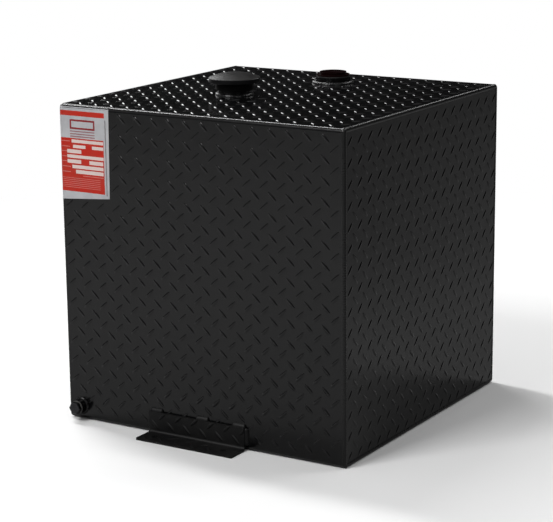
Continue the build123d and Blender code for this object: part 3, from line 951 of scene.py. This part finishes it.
# %% [markdown]
# ## The foil of the label
# The label is thin printed foil. It was put on across the corner, so its left edge rolls over the
# bead. A flat plate in front of the wall would cast a shadow and show its edge there. So the foil is
# a grid of points on the strip, with columns that follow the bead's own arc, and a second layer under
# it that closes the shell.

# %% The foil
foil_thickness = 0.16 * MM
foil_gap = 0.06 * MM
foil_right = 113 * MM
foil_left_flat = 6.4 * MM
foil_top = upright_run + 4.2 * MM
foil_length = 180 * MM
foil_foot_rise = 9 * MM
foil_narrowing = 0.025
foil_rows = 44
flat_steps = 24
flat_columns = [(foil_right * step / flat_steps, 0.0) for step in range(flat_steps, 1, -1)]
half_crown = end_bead_arc(17)[1:9]
roll_columns = [(-float(out), float(lift)) for out, lift in half_crown]
foil_columns = flat_columns + [(foil_left_flat, 0.0)] + roll_columns


def foil_points(lift):
    """Rows of points of the foil, this far off the sheet."""
    share = np.arange(foil_rows + 1)[:, None] / foil_rows
    from_left, sink = np.array(foil_columns).T
    foot = foil_length - foil_foot_rise * from_left / foil_right
    depth = (foot + foil_top - front_top) * share
    narrowed = from_left * (1.0 - foil_narrowing * share)
    away = np.where(from_left > foil_left_flat, narrowed, from_left)
    return on_strip(left_x + away, foil_top - depth, sink + lift).reshape(-1, 3)


def foil_shell(columns):
    """Faces of two layers of a grid, and of the border that joins them."""
    grid = np.arange((foil_rows + 1) * columns).reshape(-1, columns)
    behind = grid.size
    corners = (grid[:-1, :-1], grid[:-1, 1:], grid[1:, 1:], grid[1:, :-1])
    quads = np.stack(corners, axis=-1).reshape(-1, 4)
    rim = np.concatenate([grid[0], grid[1:, -1], grid[-1, -2::-1], grid[-2:0:-1, 0]])
    ahead = np.roll(rim, -1)
    border = np.stack([ahead, rim, behind + rim, behind + ahead], axis=-1)
    return np.concatenate([quads, behind + quads[:, ::-1], border]).tolist()


foil_grid = np.concatenate([foil_points(foil_gap + foil_thickness), foil_points(foil_gap)])
print("foil grid:", len(foil_columns), "columns and", foil_rows + 1, "rows")

# %% [markdown]
# ## The print on the foil
# The print is a silver ground with red fields, pale boxes and fine lines. An image could hold it, but
# it would blur close up. So the print is made from rectangles: each is a mask in millimetres from
# the tank's top left corner, and a little noise keeps its edges from being ruler straight.

# %% Masks for printed fields
mm_in_metre = 1000.0
edge_wobble_mm = 1.1


def field_maker(wire):
    """A function that gives the mask of a printed rectangle: left, top, right and foot, in mm."""
    x, y, z = wire.place().split()
    wobble = (wire.noise(220.0, 2.0) - 0.5) * edge_wobble_mm
    right = (x - left_x) * mm_in_metre + wobble
    down = (deck_z - z) * mm_in_metre + wobble

    def field(left, top, far, foot):
        return right.between(left, far) * down.between(top, foot)
    return field


def any_of(masks):
    """1 where any of the masks is 1."""
    total = masks[0]
    for mask in masks[1:]:
        total = total.largest(mask)
    return total


pale_boxes = (
    (26, 65, 99, 71), (29, 75, 58, 81), (73, 75, 99, 81), (15, 84, 48, 91), (15, 94, 99, 100),
    (15, 103, 47, 110), (66, 103, 98, 110), (26, 113, 98, 119.5), (34, 122, 98, 129),
)
short_line_tops = (68, 78, 87, 97, 106, 116, 126)
long_line_tops = (137.5, 141, 144.5, 148, 151.5, 155)
print("boxes on the label:", len(pale_boxes))


# %% The printed foil
def printed_foil():
    """Silver foil with red, maroon and pale fields."""
    material, wire, shader = new_material("printed_foil", IOR=1.5, Specular_IOR_Level=0.3)
    field = field_maker(wire)
    red_block = field(1, 62.5, 100, 163.5)
    header = field(1, 11, 103, 20.5)
    boxes = any_of([field(*edges) for edges in pale_boxes])
    faint = any_of(
        [field(3, top, 22, top + 1.4) for top in short_line_tops]
        + [field(50, 132, 98, 133.4)]
        + [field(3, top, 90, top + 1.0) for top in long_line_tops]
    )
    frame_edge = field(23, 27, 80.5, 45.5) * (1 - field(26.5, 30.5, 77, 42))
    lines = any_of([field(23, top, 80, top + 2.0) for top in (48.4, 53.4, 58.0)])
    margin_line = field(103.4, 24, 105.8, 166)
    pale = colour(0.80, 0.66, 0.62)
    maroon = colour(0.30, 0.03, 0.035)
    grey = colour(0.12, 0.10, 0.10)
    cloud = wire.noise(34.0, 4.0)
    faded = cloud.ramp(0.3, 0.75)
    silver_ground = faded.mix(colour(0.60, 0.60, 0.62), colour(0.50, 0.50, 0.52))
    red_ink = faded.mix(colour(0.56, 0.020, 0.008), colour(0.50, 0.032, 0.016))
    inked = red_block.largest(header)
    print_colour = inked.mix(silver_ground, red_ink)
    print_colour = (faint * red_block * 0.28).mix(print_colour, pale)
    print_colour = (boxes * red_block).mix(print_colour, pale)
    print_colour = frame_edge.largest(lines * 0.75).mix(print_colour, maroon)
    print_colour = (margin_line * 0.7).mix(print_colour, grey)
    drive(
        shader,
        Base_Color=print_colour,
        Metallic=(1 - inked) * 0.25,
        Roughness=cloud * 0.2 + 0.28,
        Normal=wire.bump(wire.noise(70.0, 3.0), 0.6 * MM, 0.25),
    )
    return material


label_foil = printed_foil()
foil = add_piece("label_sheet", foil_grid, foil_shell(len(foil_columns)), label_foil)
turn_outwards(foil)
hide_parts("label")

# %% [markdown]
# ## Threads
# The cap, the plug and the drain screw leave their holes in the open poses, and then their threads
# show. A stack of rings would look like a thread from afar, but it would not turn like one. So each
# thread is one ridge wound on a cylinder. Its pitch is the one that the joint has: the way that the
# screw rises, shared over its turns.

# %% Wind a thread
rings_in_turn = 56
run_out_rings = 14
ridge_sink = 0.1 * MM
crest_share = 0.14
inch = 25.4 * MM


def thread(name, middle, axis, radius, low, high, pitch, ridge, foot, material, body):
    """A ridge wound round a cylinder from low to high along its axis. foot is its width there."""
    turns = (high - low - foot) / pitch
    count = int(turns * rings_in_turn)
    step = np.arange(count + 1)
    turn = 2 * math.pi * turns * step / count
    rise = low + foot / 2 + pitch * turns * step / count
    crest = ridge * np.minimum(1.0, np.minimum(step, count - step) / run_out_rings)
    sunk = np.full(count + 1, -ridge_sink)
    out = np.stack([sunk, crest, crest, sunk], axis=1)
    shift = np.array([-0.5, -crest_share, crest_share, 0.5]) * foot
    points = round_axis(middle, axis, radius + out, turn[:, None], rise[:, None] + shift)
    faces = tube_faces(count + 1, 4)
    piece = add_piece(name, points.reshape(-1, 3), faces, material, body, sharp_from=30.0)
    turn_outwards(piece)


neck_low, neck_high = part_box("filler_neck")
thread(
    "neck_thread", cap_axis, "z", radius=(neck_high.x - neck_low.x) / 2,
    low=neck_high.z - 17 * MM, high=neck_high.z - 1 * MM, pitch=6 * MM, ridge=0.3 * MM,
    foot=2.4 * MM, material=wall_coat, body="tank",
)
plug_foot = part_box("pump_port_plug")[0].z
thread(
    "port_plug_thread", port_axis, "z", radius=28.65 * MM,
    low=plug_foot + 0.6 * MM, high=plug_foot + 12.4 * MM, pitch=inch / 11.5, ridge=0.27 * MM,
    foot=1.7 * MM, material=plug_plastic, body="port_plug",
)
screw_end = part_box("drain_plug")[1].y
thread(
    "drain_plug_thread", drain_axis, "y", radius=10.15 * MM,
    low=screw_end - 11.4 * MM, high=screw_end - 0.6 * MM, pitch=inch / 14, ridge=0.27 * MM,
    foot=1.4 * MM, material=black_zinc, body="drain_screw",
)

# %% [markdown]
# ## The vent spring
# The valve in the cap opens by pressing a coil spring down on the floor of its cage. The solid one
# is stiff, and the valve would cut into it. So the coil is made again here as a wire wound from
# rings, on a mesh of its own, and it rides on the cap.

# %% Wind the spring
spring_low, spring_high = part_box("vent_spring")
spring_height = spring_high.z - spring_low.z
wire_radius = 0.4 * MM
wire_sides = 10
coil_radius = (spring_high.x - spring_low.x) / 2 - wire_radius
coil_turns = 3.5
rings_in_coil_turn = 40

coil_count = int(coil_turns * rings_in_coil_turn)
coil_step = np.arange(coil_count + 1)[:, None]
round_wire = 2 * math.pi * np.arange(wire_sides) / wire_sides
coil_rise = spring_low.z + wire_radius + (spring_height - 2 * wire_radius) * coil_step / coil_count
coil_points = round_axis(
    cap_axis, "z", coil_radius + wire_radius * np.cos(round_wire),
    2 * math.pi * coil_step / rings_in_coil_turn, coil_rise + wire_radius * np.sin(round_wire),
)
coil = add_piece(
    "vent_coil", coil_points.reshape(-1, 3), tube_faces(coil_count + 1, wire_sides),
    spring_wire, "filler_cap",
)
turn_outwards(coil)
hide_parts("vent_spring")
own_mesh(coil)

# %% [markdown]
# ## The floor
# The floor is paper white where the camera looks at it, and keeps the shadow. Its reflection in the
# walls would be far too bright, so mirror rays see a darker grey floor instead, with painted shade on
# it: the grey darkens towards the right rear, standing in for less light falling there. Two shaders do
# that, with the Light Path node between them. Far from the tank the paper fades to pure white, as on a
# curved studio sheet.

# %% The floor's paint
paper_white = colour(0.90, 0.90, 0.90)
floor_paint, floor_wire, paper = new_material(
    "floor_paint", Base_Color=paper_white, Roughness=0.9, Specular_IOR_Level=0.0
)
ground = floor_wire.place()
far = floor_wire.node("ShaderNodeVectorMath", {"operation": "LENGTH"}, {0: ground}, "Value")
to_right, to_rear = ground.split()[:2]
# Painted shade: the grey that mirror rays see is darker towards the right rear, where less light falls.
painted_shade_to_right_rear = (to_right * 0.5 + to_rear * 0.8).ramp(-1.2, 1.8)
grey_card_with_painted_shade = painted_shade_to_right_rear.mix(colour(0.49, 0.49, 0.49), colour(0.205, 0.205, 0.205))
grey_floor = floor_wire.node("ShaderNodeBsdfDiffuse", None, {"Color": grey_card_with_painted_shade})
white_sheet = floor_wire.node("ShaderNodeEmission", None, {"Strength": 1.0})
paper_wire = Wire(floor_paint.node_tree, paper.outputs[0])
sheet = floor_wire.node(
    "ShaderNodeMixShader", None, {0: far.ramp(0.9, 2.2), 1: paper_wire, 2: white_sheet}
)
seen_directly = floor_wire.node("ShaderNodeLightPath")
shown = floor_wire.node("ShaderNodeMixShader", None, {0: seen_directly, 1: grey_floor, 2: sheet})
floor_output = floor_paint.node_tree.nodes["Material Output"]
floor_paint.node_tree.links.new(shown.socket, floor_output.inputs["Surface"])
print("floor nodes:", len(floor_paint.node_tree.nodes))

# %% Lay the floor
floor_half = 40.0
floor_corners = [(x * floor_half, y * floor_half, 0) for x, y in ((-1, -1), (1, -1), (1, 1), (-1, 1))]
floor_mesh = bpy.data.meshes.new("studio_floor")
floor_mesh.from_pydata(floor_corners, [], [(0, 1, 2, 3)])
floor_mesh.materials.append(floor_paint)
studio_floor = bpy.data.objects.new("studio_floor", floor_mesh)
scene.collection.objects.link(studio_floor)
print("floor", 2 * floor_half, "m wide")

# %% [markdown]
# ## The lights
# A black glossy thing shows its surroundings more than its own colour, so each light is placed by
# what it should draw. A window behind and to the left gives the white ticks on one row of deck lugs
# in two, and a bright strip over the left side draws the thin line along the front bend. Nothing
# stands straight behind the tank, so the flat deck stays black between its ticks. A soft box high in
# front lights the label, from a place that neither the bend nor the front lugs mirror.


# %% Place the lights
def soft_box(name, place, target, width, height, glow):
    """A rectangular light that looks at a target. glow is how bright its face looks."""
    data = bpy.data.lights.new(name, "AREA")
    data.shape = "RECTANGLE"
    data.size = width
    data.size_y = height
    data.energy = glow * math.pi * width * height
    light = bpy.data.objects.new(name, data)
    light.location = place
    light.rotation_mode = "QUATERNION"
    light.rotation_quaternion = (Vector(target) - Vector(place)).to_track_quat("-Z", "Y")
    light.visible_camera = False
    scene.collection.objects.link(light)
    print(name, "power", round(data.energy, 1), "W")


soft_box("left_window", (-5.6, 3.8, 3.6), (0.0, 0.0, 0.6), 2.4, 3.6, 5.0)
soft_box("left_strip", (-2.9, 0.8, 5.0), (0.0, 0.8, 0.6), 0.4, 4.0, 34.0)
soft_box("front_box", (-1.15, -3.7, 4.4), (0.0, 0.0, 0.4), 1.8, 2.0, 14.0)
soft_box("rear_box", (0.2, 4.2, 3.3), (0.0, 0.0, 0.6), 1.0, 1.0, 6.0)
soft_box("right_box", (3.2, 3.0, 4.4), (0.6, 0.4, 0.0), 2.2, 2.2, 4.0)
soft_box("right_front_box", (2.8, -2.2, 2.2), (2.8, -2.2, 0.0), 1.6, 1.6, 3.0)

# %% [markdown]
# ## The sky of the studio
# The camera should see plain white behind the tank, but a white room would turn the black walls
# grey. So the world is white for camera rays alone, and mirror rays see bands of grey: pale at the
# floor and overhead, and nearly black in the height that the deck mirrors. A soft bright patch in
# front and to the left gives the front wall and its lugs their even grey.

# %% Paint the sky
world = bpy.data.worlds.new("studio")
scene.world = world
world.use_nodes = True
sky = Wire(world.node_tree)
right_way, rear_way, height = sky.node("ShaderNodeTexCoord", None, None, "Generated").split()
grey_levels = ((0.0, 0.22), (0.03, 0.12), (0.07, 0.006), (0.42, 0.006), (0.7, 0.06), (1.0, 0.50))
glow = sky.node(
    "ShaderNodeValToRGB",
    {"stops": [(place, colour(level, level, level)) for place, level in grey_levels]},
    {"Fac": height},
)
to_front_left = (right_way * -0.7 - rear_way * 0.7).ramp(0.10, 0.78)
above_floor = height.ramp(0.02, 0.25) * (1 - height.ramp(0.62, 0.85))
white = colour(1.0, 1.0, 1.0)
mirrored_sky = (to_front_left * above_floor * 0.36).mix(glow, white)
seen_by_camera = sky.node("ShaderNodeLightPath")
backdrop = seen_by_camera.mix(mirrored_sky, white)
background = world.node_tree.nodes["Background"]
world.node_tree.links.new(backdrop.socket, background.inputs["Color"])
print("sky bands:", len(grey_levels))

# %% [markdown]
# ## Finish
# The picture is shown as it is lit, so the view transform is plain.

# %% Set the view transform
scene.view_settings.view_transform = "Standard"
